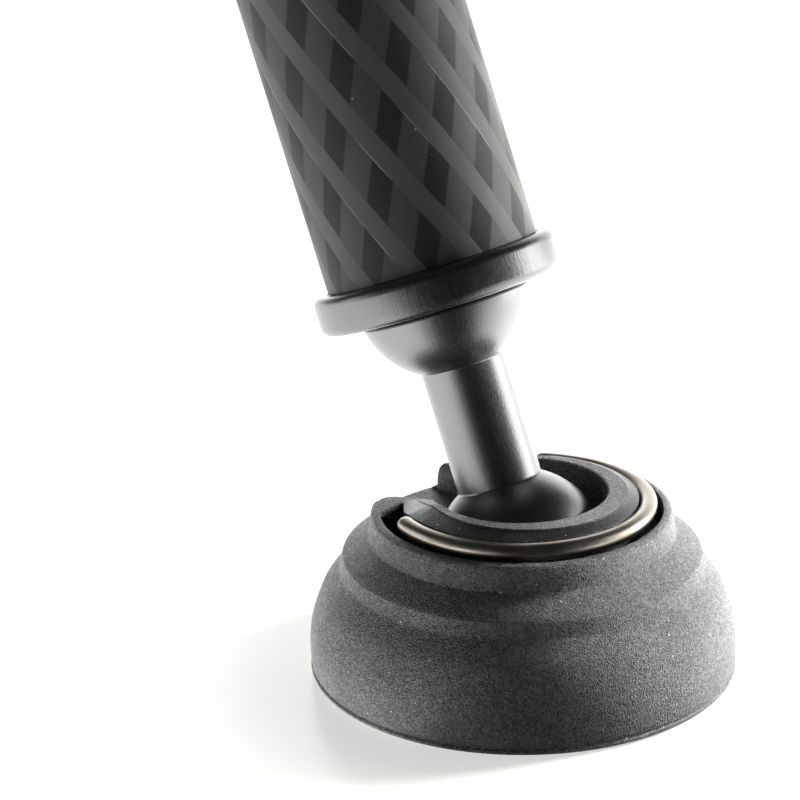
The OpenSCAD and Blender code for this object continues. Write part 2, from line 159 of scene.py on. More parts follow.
# %% Helpers for finishes
class Finish:
    """A node material with short ways to add what the finishes here need."""

    def __init__(self, name, leg=False):
        self.material = bpy.data.materials.new(name)
        self.material.use_nodes = True
        self.tree = self.material.node_tree
        self.shader = self.tree.nodes["Principled BSDF"]
        place = self.tree.nodes.new("ShaderNodeTexCoord").outputs["Object"]
        if leg:
            turn = self.tree.nodes.new("ShaderNodeMapping")
            turn.vector_type = "TEXTURE"
            turn.inputs["Location"].default_value = (0, 0, BALL_Z * MM)
            turn.inputs["Rotation"].default_value = (0, -LEAN, 0)
            self.tree.links.new(place, turn.inputs["Vector"])
            place = turn.outputs["Vector"]
        self.place = place

    def put(self, socket, value):
        """Links a node's output to a socket, or sets a plain value on it."""
        if isinstance(value, bpy.types.NodeSocket):
            self.tree.links.new(value, socket)
        else:
            socket.default_value = value

    def math(self, kind, a, b=0.0):
        node = self.tree.nodes.new("ShaderNodeMath")
        node.operation = kind
        for socket, value in zip(node.inputs, (a, b)):
            self.put(socket, value)
        return node.outputs[0]

    def scaled(self, factors):
        """The place on the piece, stretched by a factor along each axis."""
        node = self.tree.nodes.new("ShaderNodeVectorMath")
        node.operation = "MULTIPLY"
        self.put(node.inputs[0], self.place)
        node.inputs[1].default_value = factors
        return node.outputs[0]

    def apart(self):
        """The three coordinates of the place, each by its letter."""
        node = self.tree.nodes.new("ShaderNodeSeparateXYZ")
        self.put(node.inputs[0], self.place)
        return node.outputs

    def noise(self, size_mm, detail=2.0, where=None, rough=0.5):
        node = self.tree.nodes.new("ShaderNodeTexNoise")
        node.inputs["Scale"].default_value = 1000.0 / size_mm
        node.inputs["Detail"].default_value = detail
        node.inputs["Roughness"].default_value = rough
        self.put(node.inputs["Vector"], where or self.place)
        return node.outputs["Fac"]

    def cells(self, size_mm, out="Distance"):
        node = self.tree.nodes.new("ShaderNodeTexVoronoi")
        node.inputs["Scale"].default_value = 1000.0 / size_mm
        self.put(node.inputs["Vector"], self.place)
        return node.outputs[out]

    def spread(self, value, low, high, to_low=0.0, to_high=1.0, smooth=False):
        """Carries the range from low to high over to another range."""
        node = self.tree.nodes.new("ShaderNodeMapRange")
        node.interpolation_type = "SMOOTHSTEP" if smooth else "LINEAR"
        for socket, v in zip(node.inputs, (value, low, high, to_low, to_high)):
            self.put(socket, v)
        return node.outputs[0]

    def blend(self, share, a, b):
        """Colour a, going over to colour b by a share."""
        node = self.tree.nodes.new("ShaderNodeMix")
        node.data_type = "RGBA"
        self.put(node.inputs[0], share)
        for socket, v in zip((node.inputs[6], node.inputs[7]), (a, b)):
            self.put(socket, v if isinstance(v, bpy.types.NodeSocket) else (*v, 1.0))
        return node.outputs[2]

    def bump(self, height, depth_mm, below=None):
        node = self.tree.nodes.new("ShaderNodeBump")
        node.inputs["Strength"].default_value = 1.0
        node.inputs["Distance"].default_value = depth_mm * MM
        self.put(node.inputs["Height"], height)
        if below is not None:
            self.put(node.inputs["Normal"], below)
        return node.outputs["Normal"]

    def done(self, colour, rough, metal=0.0, normal=None, **plain):
        """Joins the results to the shader; plain values go straight onto its sockets."""
        self.put(self.shader.inputs["Base Color"], colour)
        self.put(self.shader.inputs["Roughness"], rough)
        self.shader.inputs["Metallic"].default_value = metal
        if normal is not None:
            self.put(self.shader.inputs["Normal"], normal)
        for name, value in plain.items():
            self.shader.inputs[name.replace("_", " ")].default_value = value
        return self.material


def shaded(shade, factor):
    """A colour made darker or lighter by a factor."""
    return tuple(min(1.0, c * factor) for c in shade)


print("helpers for finishes are ready")

# %% [markdown]
# ## Moulded rubber
# The foot is pressed in a mould with a spark-eroded wall, and that wall leaves a fine grain of
# about a quarter of a millimetre on the rubber. Modelling it would take millions of faces, so it is
# a bump, and its light and shade are painted into the colour: a painted highlight on the tops of the
# grain and a painted shade in the hollows, so that the grain shows even in flat light. The tops are
# also a little glossier. A few pale specks of dust cling to it.
# Where the spring wire rubs along the collar, the rubber is smoother and darker. That part of the
# foot is marked with an attribute called polish, which the finish reads.


# %% Rubber finishes
def rubber(name, shade, grain_mm, grain_depth, rough,
           dust=0.0, leg=False, gloss=0.5, polished=False):
    """Grained rubber; the dust is a size of specks, and polished lets the attribute smooth it."""
    f = Finish(name, leg)
    grain = f.noise(grain_mm, 1.0, rough=0.6)
    facet = f.math("POWER", f.cells(grain_mm * 1.6, out="Color"), 1.6)
    height = f.math("ADD", f.math("MULTIPLY", grain, 0.75), f.math("MULTIPLY", facet, 0.25))
    cloud = f.spread(f.noise(9.0, 3.0), 0.3, 0.7, 0.85, 1.15)
    # Painted light and shade: the grain's tops get a pale painted highlight and its hollows a
    # painted shade in the colour.
    grain_painted_light = f.math("MULTIPLY", f.spread(height, 0.2, 0.75), cloud)
    if polished:
        mark = f.tree.nodes.new("ShaderNodeAttribute")
        mark.attribute_name = "polish"
        rubbed = mark.outputs["Fac"]
        grain_painted_light = f.math("MULTIPLY", grain_painted_light, f.spread(rubbed, 0.0, 1.0, 1.0, 0.25))
        height = f.math("MULTIPLY", height, f.spread(rubbed, 0.0, 1.0, 1.0, 0.12))
    colour = f.blend(grain_painted_light, shaded(shade, 0.08), shaded(shade, 2.5))
    if dust:
        speck_size = f.spread(f.noise(0.4), 0.35, 0.7, 0.0, dust)
        speck = f.math("LESS_THAN", f.cells(1.3), speck_size)
        colour = f.blend(f.math("MULTIPLY", speck, 0.9), colour, (0.8, 0.79, 0.76))
    shine = f.spread(grain_painted_light, 0.0, 1.0, rough + 0.16, rough - 0.12)
    if polished:
        shine = f.math("SUBTRACT", shine, f.math("MULTIPLY", rubbed, 0.2))
    glint = f.spread(grain_painted_light, 0.0, 1.0, gloss * 0.2, gloss * 1.8)
    f.put(f.shader.inputs["Specular IOR Level"], glint)
    return f.done(colour, shine, normal=f.bump(height, grain_depth), IOR=1.7 if polished else 1.5)


foot_rubber = rubber("foot rubber", (0.068, 0.068, 0.0665), 0.16, 0.32, 0.42,
                     dust=0.12, gloss=0.8, polished=True)
lock_rubber = rubber("lock rubber", (0.022, 0.022, 0.022), 0.3, 0.05, 0.55, leg=True)
grip_rubber = rubber("grip rubber", (0.026, 0.026, 0.027), 0.5, 0.1, 0.58, leg=True)
pad_rubber = rubber("pad rubber", (0.024, 0.024, 0.024), 0.8, 0.12, 0.62, leg=True)
seal_rubber = rubber("seal rubber", (0.014, 0.014, 0.014), 0.25, 0.02, 0.42, leg=True)
print("rubber finishes:", 5)

# %% [markdown]
# ## Blasted and turned metal
# The ball stud is blasted with fine beads after turning. That leaves dents of a fifth of a
# millimetre, which break up the reflections. The flange is turned and anodised, and handling has
# left faint lines along its edge. The spring is drawn wire with a brownish stain. All three are
# plain metal in the shader, and only the bump and a small change in colour tell them apart.


# %% Metal finishes
def blasted(name, shade, rough, dent_mm=0.2, dent_depth=0.02):
    f = Finish(name, leg=True)
    dents = f.noise(dent_mm, 1.5)
    cloud = f.spread(f.noise(6.0, 3.0), 0.3, 0.7, 0.88, 1.12)
    mix = f.math("MULTIPLY", dents, cloud)
    colour = f.blend(mix, shaded(shade, 0.8), shaded(shade, 1.2))
    shine = f.spread(mix, 0.3, 0.7, rough - 0.05, rough + 0.07)
    return f.done(colour, shine, 1.0, f.bump(dents, dent_depth))


def turned(name, shade, rough, lines=0.0):
    """Anodised metal with fine rings from the lathe, and lines along the axis from handling."""
    f = Finish(name, leg=True)
    rings = f.noise(1.0, 2.0, f.scaled((0.2, 0.2, 9.0)))
    spots = f.noise(0.3, 2.0)
    along = f.noise(1.0, 2.0, f.scaled((5.0, 5.0, 0.12)))
    mix = f.math("ADD", f.math("MULTIPLY", spots, 0.6), f.math("MULTIPLY", along, 0.4))
    colour = f.blend(mix, shaded(shade, 0.75), shaded(shade, 1.25))
    shine = f.spread(mix, 0.3, 0.7, rough - 0.06, rough + 0.08)
    normal = f.bump(rings, 0.012)
    normal = f.bump(spots, 0.012, below=normal)
    if lines:
        normal = f.bump(along, lines, below=normal)
    return f.done(colour, shine, 1.0, normal)


def drawn_wire(name, stained, clean):
    f = Finish(name)
    drawn = f.noise(0.5, 3.0)
    stain = f.noise(4.0, 3.0)
    colour = f.blend(f.spread(stain, 0.35, 0.65), stained, clean)
    return f.done(colour, f.spread(drawn, 0.3, 0.7, 0.3, 0.42), 1.0, f.bump(drawn, 0.004))


stud_metal = blasted("blasted stud", (0.235, 0.235, 0.231), 0.33)
flange_metal = turned("satin flange", (0.2, 0.2, 0.197), 0.33, lines=0.02)
dark_metal = turned("dark anodised", (0.11, 0.11, 0.114), 0.36)
screw_steel = turned("turned steel", (0.5, 0.49, 0.47), 0.3)
spring_steel = drawn_wire("spring wire", (0.36, 0.315, 0.25), (0.46, 0.44, 0.39))
print("metal finishes:", 5)

# %% [markdown]
# ## Wound carbon
# The tube is wound from ribbons of fibre that run round it in two crossing helices. Light slides
# along the fibres, so a ribbon on top of the others looks paler than the dark patches between;
# that sheen is painted into the colour of the ribbons.
# Here and there a thread has frayed along a ribbon's edge and shows as a bright line. The pattern
# is worked out from the height along the leg and the angle round it, with a whole number of
# ribbons in a turn, so that it has no seam. An unwrapped picture would need one.


# %% Carbon finish
def carbon(name):
    f = Finish(name, leg=True)
    at = f.apart()
    turn = f.math("DIVIDE", f.math("ARCTAN2", at["Y"], at["X"]), 2 * math.pi)
    height = f.math("MULTIPLY", at["Z"], 1000.0)

    def phase_of(count, pitch, shift=0.0):
        """Runs from 0 to 1 across each of the ribbons round the tube; the pitch is in mm."""
        phase = f.math("ADD", f.math("MULTIPLY", turn, count), f.math("DIVIDE", height, pitch))
        return f.math("FRACT", f.math("ADD", phase, shift))

    def ribbons(phase, low, high, soft):
        """1 on a ribbon and 0 between."""
        up = f.spread(phase, low - soft, low + soft)
        down = f.spread(phase, high - soft, high + soft, 1.0, 0.0)
        return f.math("MULTIPLY", up, down)

    upper_edge = 0.5
    upper_phase = phase_of(12, 13.7)
    upper = ribbons(upper_phase, upper_edge, 0.87, 0.012)
    lower = ribbons(phase_of(-12, 14.0, -0.4), 0.16, 0.71, 0.02)
    weave = f.math("MAXIMUM", upper, f.math("MULTIPLY", lower, 0.62))
    fibre = f.noise(1.0, 2.0, f.scaled((5.0, 5.0, 0.5)))
    fine = f.noise(0.22, 2.0)
    grain = f.math("ADD", f.math("MULTIPLY", fibre, 0.5), f.math("MULTIPLY", fine, 0.5))
    patchy = f.spread(f.noise(14.0, 2.0), 0.3, 0.7, 0.75, 1.15)
    uneven = f.spread(grain, 0.3, 0.7, -0.14, 0.14)
    # Painted sheen: the ribbons are paler in the colour, for the light that slides along their
    # fibres.
    tone = f.math("ADD", f.math("MULTIPLY", weave, patchy), uneven)
    colour = f.blend(tone, (0.042, 0.042, 0.0395), (0.128, 0.1265, 0.122))
    off_edge = f.math("ABSOLUTE", f.math("SUBTRACT", upper_phase, upper_edge))
    here_and_there = f.spread(f.noise(9.0, 1.0), 0.52, 0.6)
    frayed = f.math("MULTIPLY", f.math("LESS_THAN", off_edge, 0.009), here_and_there)
    colour = f.blend(f.math("MULTIPLY", frayed, 0.6), colour, (0.42, 0.41, 0.39))
    speck = f.math("LESS_THAN", f.cells(3.4), 0.035)
    colour = f.blend(f.math("MULTIPLY", speck, 0.6), colour, (0.55, 0.54, 0.5))
    shine = f.spread(grain, 0.3, 0.7, 0.4, 0.55)
    relief = f.math("ADD", weave, f.math("MULTIPLY", grain, 0.7))
    return f.done(colour, shine, normal=f.bump(relief, 0.02), Specular_IOR_Level=0.12)


carbon_tube = carbon("wound carbon")
print("carbon finish: 1")

# %% [markdown]
# ## Plastic inside the locks
# The collets, guides and slip washers are moulded in plain plastic with a faint flow pattern. They
# are hardly seen, so two soft noises are enough: a wide one for the colour and a fine one for the
# skin.


# %% Plastic finishes
def moulded(name, shade, rough):
    f = Finish(name, leg=True)
    flow = f.noise(3.0, 3.0)
    skin = f.noise(0.3, 2.0)
    colour = f.blend(flow, shaded(shade, 0.85), shaded(shade, 1.12))
    shine = f.spread(skin, 0.3, 0.7, rough - 0.05, rough + 0.06)
    return f.done(colour, shine, normal=f.bump(skin, 0.01))


guide_plastic = moulded("guide plastic", (0.03, 0.03, 0.03), 0.45)
collet_plastic = moulded("collet plastic", (0.04, 0.043, 0.047), 0.4)
slip_plastic = moulded("slip plastic", (0.72, 0.69, 0.62), 0.35)
print("plastic finishes:", 3)

# %% [markdown]
# ## The rubber foot
# The foot is drawn as an outline that is swept round the axis: a bell, two stepped shoulders, a rim
# and the collar that holds the ball. The collar is not the same all round, because its top drops
# towards the notch and its outer edge leans in there. So the outline is not a fixed list but a rule
# that is asked again at each angle.

# %% Sizes of the foot
# Radius and height along the outside, from the ground up
BELL = [
    (24.55, 0), (24.8, 0.05), (24.96, 0.17), (25.0, 0.34), (24.97, 0.5), (24.87, 0.6), (24.82, 0.7),
    (24.86, 0.82), (24.93, 1.0), (24.97, 1.6), (25.0, 2.6), (24.98, 3.6), (24.9, 4.6), (24.74, 5.6),
    (24.49, 6.6), (24.18, 7.5), (23.88, 8.3), (23.62, 8.95), (23.38, 9.45), (23.1, 9.92),
    (22.76, 10.4), (22.3, 10.97), (21.86, 11.5), (21.5, 11.92), (21.38, 12.1), (21.3, 12.28),
    (21.22, 12.6), (21.08, 13.2), (20.97, 13.66),
]
SHOULDER = [
    (20.9, 13.9), (20.78, 14.06), (20.6, 14.22), (20.2, 14.52), (19.6, 14.97), (19.0, 15.41),
    (18.4, 15.82), (18.05, 16.04), (17.92, 16.14), (17.85, 16.3), (17.78, 16.7), (17.64, 17.6),
    (17.53, 18.3),
]
RIM_TOP = [
    (17.48, 18.56), (17.37, 18.8), (17.2, 18.98), (16.98, 19.09), (16.75, 19.13), (RIM_BORE, RIM_Z),
]
# Angle from the notch, and the radius of the collar's upper edge or the height of its foot there
COLLAR_EDGE = [
    (15, 12.5), (30, 12.2), (40, 11.7), (52, 11.25), (66, 11.15), (80, 11.35), (95, 11.65),
    (110, 11.85), (126, 12.05), (145, 12.4), (180, 12.7),
]
COLLAR_SHELF = [(0, 19.2), (38, 19.2), (46, 19.45), (56, 20.1), (70, 20.4), (180, 20.45)]
COLLAR_MID_R, DIP_Z, DIP_SLOPE = 11.0, 19.55, math.radians(21)
SEAT_GAP, LIP_RISE = 0.1, 4.1
TREADS, TREAD_DEPTH, TREAD_BEVEL = [(9.0, 10.5), (16.0, 17.5)], 1.0, 0.1
print("foot: largest radius", max(r for r, z in BELL), "collar top", COLLAR_Z)


# %% Outline of the foot at an angle
def between(stops, x):
    """Straight-line reading between stops of (x, value)."""
    for (x0, v0), (x1, v1) in zip(stops, stops[1:]):
        if x <= x1:
            return v0 + (v1 - v0) * max(0.0, x - x0) / (x1 - x0)
    return stops[-1][1]


def foot_top(turn):
    """The foot's top from the rim in to the collar's bore, by its angle from the notch."""
    edge_r = between(COLLAR_EDGE, turn)
    side = COLLAR_MID_R * math.sin(math.radians(min(turn, 90)))
    top = min(COLLAR_Z, DIP_Z + max(0.0, side - NOTCH_HALF) * math.tan(DIP_SLOPE))
    shelf = between(COLLAR_SHELF, turn)
    rise, lean = shelf - RIM_Z, COLLAR_R - edge_r
    points = [(15.4, RIM_Z + 0.3 * rise), (14.4, RIM_Z + 0.7 * rise), (COLLAR_R, shelf)]
    points += [(COLLAR_R - t * lean, shelf + t * (top - 0.12 - shelf)) for t in (0.33, 0.66, 0.97)]
    points += [(edge_r + 0.03, top - 0.05), (edge_r - 0.05, top), (COLLAR_BORE + 0.32, top)]
    return points + [(COLLAR_BORE + 0.12, top - 0.07), (COLLAR_BORE, top - 0.25)]


def foot_outline(turn):
    """The whole outline at an angle: sole, outside, top, and the seat round the ball."""
    seat_r = BALL_R + SEAT_GAP
    lip_r = math.sqrt(seat_r ** 2 - LIP_RISE ** 2)
    points = []
    for inner, outer in TREADS:
        points += [(inner - TREAD_BEVEL, 0), (inner, TREAD_BEVEL), (inner, TREAD_DEPTH)]
        points += [(outer, TREAD_DEPTH), (outer, TREAD_BEVEL), (outer + TREAD_BEVEL, 0)]
    points += BELL + SHOULDER + RIM_TOP + foot_top(turn)
    points += [(9.62, 18.8), (lip_r + 0.02, BALL_Z + LIP_RISE + 0.1)]
    lip_angle = math.degrees(math.atan2(LIP_RISE, lip_r))
    return points + arc(0, BALL_Z, seat_r, seat_r, lip_angle, -87, 40)


print("foot outline:", len(foot_outline(90)), "points")


# %% Sweep an outline that changes
def from_notch(x, y):
    """Angle of a place in the plan from the notch, in degrees."""
    return abs(math.degrees(math.atan2(y, -x)))


def swept(outline_at, steps):
    """A closed mesh from an outline that is asked again at each angle round Z."""
    bm = bmesh.new()
    rows = []
    for i in range(steps):
        c, s = math.cos(2 * math.pi * i / steps), math.sin(2 * math.pi * i / steps)
        rows.append([bm.verts.new((r * c, r * s, z)) for r, z in outline_at(from_notch(c, s))])
    for a, b in zip(rows, rows[1:] + rows[:1]):
        for k in range(len(a) - 1):
            bm.faces.new((a[k], b[k], b[k + 1], a[k + 1]))
    bm.faces.new([row[0] for row in rows])
    bm.faces.new([row[-1] for row in rows])
    bmesh.ops.recalc_face_normals(bm, faces=bm.faces)
    return bm


print("the notch lies at", from_notch(-1, 0), "degrees, the far side at", from_notch(1, 0))

# %% [markdown]
# ## Cutters for groove and notch
# The groove for the wire and the notch for the neck are cut out of the swept foot. Both cutters
# swell where they meet the surface, so that the edges come out rounded as a moulded edge is. A
# bevel after the cut could round them too, but it often fails on edges that a cut has left.


# %% Cutters with swelling edges
def surface_z(p):
    """Height of the foot's top at a place in the plan."""
    stops = sorted((r, z) for r, z in SHOULDER + RIM_TOP + foot_top(from_notch(p.x, p.y)))
    return between(stops, p.length) if p.length < 20.9 else 13.0


def added(mesh_in_work, name):
    """Puts a mesh in work into the scene as an object, still in millimetres."""
    mesh = bpy.data.meshes.new(name)
    mesh_in_work.to_mesh(mesh)
    mesh_in_work.free()
    obj = bpy.data.objects.new(name, mesh)
    bpy.context.scene.collection.objects.link(obj)
    return obj


def block(loop, rows, name):
    """A closed block from a plan loop; each place in the loop has a row of (offset, height)."""
    bm = bmesh.new()
    count = len(loop)
    columns = []
    for i, p in enumerate(loop):
        along = (Vector(loop[(i + 1) % count]) - Vector(loop[i - 1])).normalized()
        out = Vector((along.y, -along.x))
        columns.append([bm.verts.new((*(Vector(p) + out * d), z)) for d, z in rows(Vector(p))])
    for i in range(count):
        a, b = columns[i], columns[(i + 1) % count]
        for k in range(len(a) - 1):
            bm.faces.new((a[k], b[k], b[k + 1], a[k + 1]))
    ends = [bm.faces.new([c[0] for c in reversed(columns)]), bm.faces.new([c[-1] for c in columns])]
    bmesh.ops.triangulate(bm, faces=ends)
    bmesh.ops.recalc_face_normals(bm, faces=bm.faces)
    return added(bm, name)


def swelling(floor_z, swell):
    """Rows for a cutter that swells by a radius where it meets the foot's surface."""
    def rows(p):
        size = swell(p)
        top = max(surface_z(p), floor_z + 0.3 + size)
        turns = [math.pi / 2 * k / 6 for k in range(7)]
        flare = [(size * (1 - math.cos(t)), top - size * (1 - math.sin(t))) for t in turns]
        return [(0.0, floor_z)] + flare + [(size + 0.05, top + 0.02), (size + 0.4, COLLAR_Z + 2.0)]
    return rows


middle_of_rim = Vector((17.0, 0.0))
print("the rim's top is", round(surface_z(middle_of_rim), 2), "mm above the ground")


# %% Cut with the tools
def cut(body, *tools):
    """Takes the tools out of the body and returns the mesh that is left, still in millimetres."""
    for tool in tools:
        step = body.modifiers.new("cut", "BOOLEAN")
        step.operation = "DIFFERENCE"
        step.solver = "EXACT"
        step.object = tool
    left = bmesh.new()
    left.from_object(body, bpy.context.evaluated_depsgraph_get())
    for obj in (body, *tools):
        bpy.data.objects.remove(obj)
    bmesh.ops.remove_doubles(left, verts=left.verts, dist=2e-3)
    bmesh.ops.recalc_face_normals(left, faces=left.faces)
    return left


print("cutting is ready")

# %% [markdown]
# ## Plans of the cutters
# Each cutter starts as a closed loop in the plan, seen from above. The groove is a ring that stops
# short of the notch, the notch is a straight channel towards -X, and the third loop takes the corner
# off the rim's near end. Loops that are worked out point by point keep their corners where the
# drawing has them. A modifier that rounds corners would move them a little.


# %% Plans of the cutters
def rounded(start, corner, end, count=6):
    """Points that round a corner of a plan, between a place before it and a place after it."""
    points = []
    for i in range(count + 1):
        t = i / count
        a, b, c = (1 - t) ** 2, 2 * t * (1 - t), t * t
        points.append(tuple(a * start[k] + b * corner[k] + c * end[k] for k in (0, 1)))
    return points


def groove_loop(reach=11.7, soft=1.1):
    """Plan of the groove: a ring that ends on a straight line across, with softened corners."""
    def half_angle(radius):
        """Half angle of the ring at this radius, shortened for the soft corner."""
        return math.pi - math.acos(reach / radius) - soft / radius

    def arc_points(radius, start, end, count=240):
        turns = [start + (end - start) * i / count for i in range(count + 1)]
        return [(radius * math.cos(t), radius * math.sin(t)) for t in turns]

    def crossing(radius, side):
        return (-reach, side * math.sqrt(radius ** 2 - reach ** 2))

    outer, inner = half_angle(RIM_BORE), half_angle(COLLAR_R)
    loop = arc_points(RIM_BORE, -outer, outer)
    far, near = crossing(RIM_BORE, 1), crossing(COLLAR_R, 1)
    loop += rounded(loop[-1], far, (-reach, far[1] - soft))[1:]
    inside = arc_points(COLLAR_R, inner, -inner)
    loop += rounded((-reach, near[1] + soft), near, inside[0])[:-1]
    loop += inside
    far, near = crossing(RIM_BORE, -1), crossing(COLLAR_R, -1)
    loop += rounded(inside[-1], near, (-reach, near[1] - soft))[1:]
    loop += rounded((-reach, far[1] + soft), far, loop[0])[:-1]
    return loop


def notch_loop(start=16.2, corner=0.8):
    """Plan of the notch: a straight channel from the ball, with small round corners at the rim."""
    side = []
    for i in range(87):
        x = 2.0 + 0.3 * i
        past = min(max(0.0, x - start), 0.92 * corner)
        side.append((-x, NOTCH_HALF + corner - math.sqrt(corner ** 2 - past ** 2)))
    return [(x, -y) for x, y in reversed(side)] + side


def rim_end_loop(centre=(-12.9, -7.7), radius=2.4):
    """Plan of what is taken off the rim's near end, so that the end turns round into the notch."""
    outside, inside, near, far = -19.5, -12.2, -8.6, -3.6
    loop = [(outside, near), (outside, far), (inside, far), (inside, -5.26)]
    for i in range(13):
        t = math.pi / 2 * i / 12
        loop.append((centre[0] - radius * math.sin(t), centre[1] + radius * math.cos(t)))
    edge = centre[0] - radius
    return loop + [(edge - 0.05, centre[1] - 0.3), (edge - 0.4, near)]


print("plans of the cutters:", len(groove_loop()), len(notch_loop()), len(rim_end_loop()), "points")

# %% [markdown]
# ## Moulding the foot
# In a factory the mould has the groove and the notch in it. Here the swept blank is cut three
# times: by the groove, by the notch, and by a small tool that rounds the near end of the rim.
# Afterwards the leaning wall of the collar is found by the direction of its faces and marked as
# polished. It could be painted by hand as well, but a rule still holds when a size changes.

# %% Mould the foot
GROOVE_FLOOR, RIM_END_FLOOR = 15.5, 16.15
POLISH_LOW = 17.5


def groove_edge(p):
    """Rounding of the groove's edge: a hair at collar and rim, and soft at the two ends."""
    if p.x < -11.6:
        return 0.6
    return 0.02 if p.length < COLLAR_R + 0.1 else 0.1


def notch_edge(p):
    """Rounding of the notch's edge: small at the collar and larger at the rim."""
    return between([(12.5, 0.25), (16, 1.0)], p.length)


def rim_end_edge(p):
    """Rounding of the rim's end, along its turn only."""
    return 0.6 if -15.6 < p.x < -12.5 and p.y < -5 else 0.05


foot_blank = added(swept(foot_outline, 288), "foot blank")
groove_tool = block(groove_loop(), swelling(GROOVE_FLOOR, groove_edge), "groove tool")
notch_tool = block(notch_loop(), swelling(NOTCH_FLOOR, notch_edge), "notch tool")
end_tool = block(rim_end_loop()[::-1], swelling(RIM_END_FLOOR, rim_end_edge), "rim end tool")
foot_solid = cut(foot_blank, groove_tool, notch_tool, end_tool)
polish = foot_solid.loops.layers.float.new("polish")
for face in foot_solid.faces:
    spot = face.calc_center_median()
    out = Vector((spot.x, spot.y, 0)).normalized()
    leaning = 0.12 < face.normal.dot(out) < 0.9
    on_collar = spot.z > POLISH_LOW and spot.xy.length < COLLAR_R + 0.05
    for corner in face.loops:
        corner[polish] = 1.0 if leaning and on_collar else 0.0
piece(foot_solid, "rubber_foot_moulded", "foot", foot_rubber, ["rubber_foot"],
      degrees=17)

# %% [markdown]
# ## The spring wire
# A round wire is bent into a C and snapped into the groove, where it squeezes the collar round the
# ball. Its cut ends are rounded over, and it sits a little deeper at the back. A curve with a bevel
# would give the wire quickly, but not the rounded ends, so rings of points are joined up instead.

# %% Bend the snap ring
WIRE_R, WIRE_PATH, WIRE_Z, WIRE_DROP, WIRE_SIDES = 1.0, 14.7, 19.7, 0.45, 24
gap = math.radians(120) + 2 * WIRE_R / WIRE_PATH
backwards = Vector((-math.sin(VIEW), math.cos(VIEW), 0))
turns = [math.pi + gap / 2 + (2 * math.pi - gap) * i / 180 for i in range(181)]
caps = [(0.35, 0.93), (0.7, 0.7), (0.9, 0.4), (0.985, 0.15)]
stations = [(turns[0] - t * WIRE_R / WIRE_PATH, size) for t, size in reversed(caps)]
stations += [(t, 1.0) for t in turns]
stations += [(turns[-1] + t * WIRE_R / WIRE_PATH, size) for t, size in caps]
ring_mesh = bmesh.new()
sections = []
for angle, size in stations:
    out = Vector((math.cos(angle), math.sin(angle), 0))
    core = out * WIRE_PATH + Vector((0, 0, WIRE_Z - WIRE_DROP * max(0.0, out.dot(backwards))))
    section = []
    for k in range(WIRE_SIDES):
        a = 2 * math.pi * k / WIRE_SIDES
        side = out * math.cos(a) + Vector((0, 0, math.sin(a)))
        section.append(ring_mesh.verts.new(core + WIRE_R * size * side))
    sections.append(section)
for a, b in zip(sections, sections[1:]):
    for k in range(WIRE_SIDES):
        following = (k + 1) % WIRE_SIDES
        ring_mesh.faces.new((a[k], a[following], b[following], b[k]))
ring_mesh.faces.new(sections[0])
ring_mesh.faces.new(sections[-1])
bmesh.ops.recalc_face_normals(ring_mesh, faces=ring_mesh.faces)
piece(ring_mesh, "snap_ring_wire", "foot", spring_steel, ["snap_ring"], degrees=60)

# %% [markdown]
# ## The ball stud
# Ball, neck and dome are turned from one bar. The tool leaves a small radius where the neck meets
# the ball and the dome. These radii are drawn into the outline, where their size is exact.

# %% Turn the ball stud
LOW_RADIUS, HIGH_RADIUS = 0.5, 0.3
THREAD_R, THREAD_END, THREAD_BEVEL = 4.7, FLANGE_LOW + 12, 0.5
neck_low = math.sqrt((BALL_R + LOW_RADIUS) ** 2 - (NECK_R + LOW_RADIUS) ** 2)
neck_high = STEM - math.sqrt((DOME_R + HIGH_RADIUS) ** 2 - (NECK_R + HIGH_RADIUS) ** 2)
low_angle = math.degrees(math.atan2(neck_low, NECK_R + LOW_RADIUS))
high_angle = math.degrees(math.atan2(neck_high - STEM, NECK_R + HIGH_RADIUS))
dome_end = -math.degrees(math.asin(1.9 / DOME_R))
stud_outline = arc(0, 0, BALL_R, BALL_R, -90, low_angle, 60)
stud_outline += arc(NECK_R + LOW_RADIUS, neck_low, LOW_RADIUS, LOW_RADIUS,
                    low_angle + 180, 180, 5)
stud_outline += arc(NECK_R + HIGH_RADIUS, neck_high, HIGH_RADIUS, HIGH_RADIUS,
                    180, high_angle + 180, 5)
stud_outline += arc(0, STEM, DOME_R, DOME_R, high_angle, dome_end, 40)
stud_outline += arc(9.5, DOME_FLAT - 0.32, 0.32, 0.3, 0, 90, 4)
stud_outline += [(THREAD_R, DOME_FLAT), (THREAD_R, THREAD_END - THREAD_BEVEL)]
stud_outline += [(THREAD_R - THREAD_BEVEL, THREAD_END), (0, THREAD_END)]
piece(spun(stud_outline, 160), "ball_stud_turned", "stud", stud_metal,
      ["ball_stud"], on_leg)

# %% [markdown]
# ## The flange
# The plug in the tube's end has a flange with rounded edges, turned to a satin finish. Only the
# flange is seen. The spigot is drawn too, because the plug stands in for the whole measured solid.

# %% Turn the end plug
PLUG_BORE, PLUG_R, PLUG_TOP, PLUG_BEVEL = 4.9, 11.25, FLANGE_TOP + 18, 0.6
FLANGE_EDGE = 1.15
edge_r = FLANGE_R - FLANGE_EDGE
plug_outline = [(PLUG_BORE, FLANGE_LOW), (13.4, FLANGE_LOW)]
plug_outline += arc(edge_r, FLANGE_LOW + FLANGE_EDGE, FLANGE_EDGE, FLANGE_EDGE, -90, 0, 8)
plug_outline += arc(edge_r, FLANGE_TOP - FLANGE_EDGE, FLANGE_EDGE, FLANGE_EDGE, 0, 90, 8)
plug_outline += [(12.7, FLANGE_TOP), (12.6, FLANGE_TOP - 0.15), (PLUG_R, FLANGE_TOP - 0.15)]
plug_outline += [(PLUG_R, PLUG_TOP - PLUG_BEVEL), (PLUG_R - PLUG_BEVEL, PLUG_TOP)]
plug_outline += [(PLUG_BORE, PLUG_TOP)]
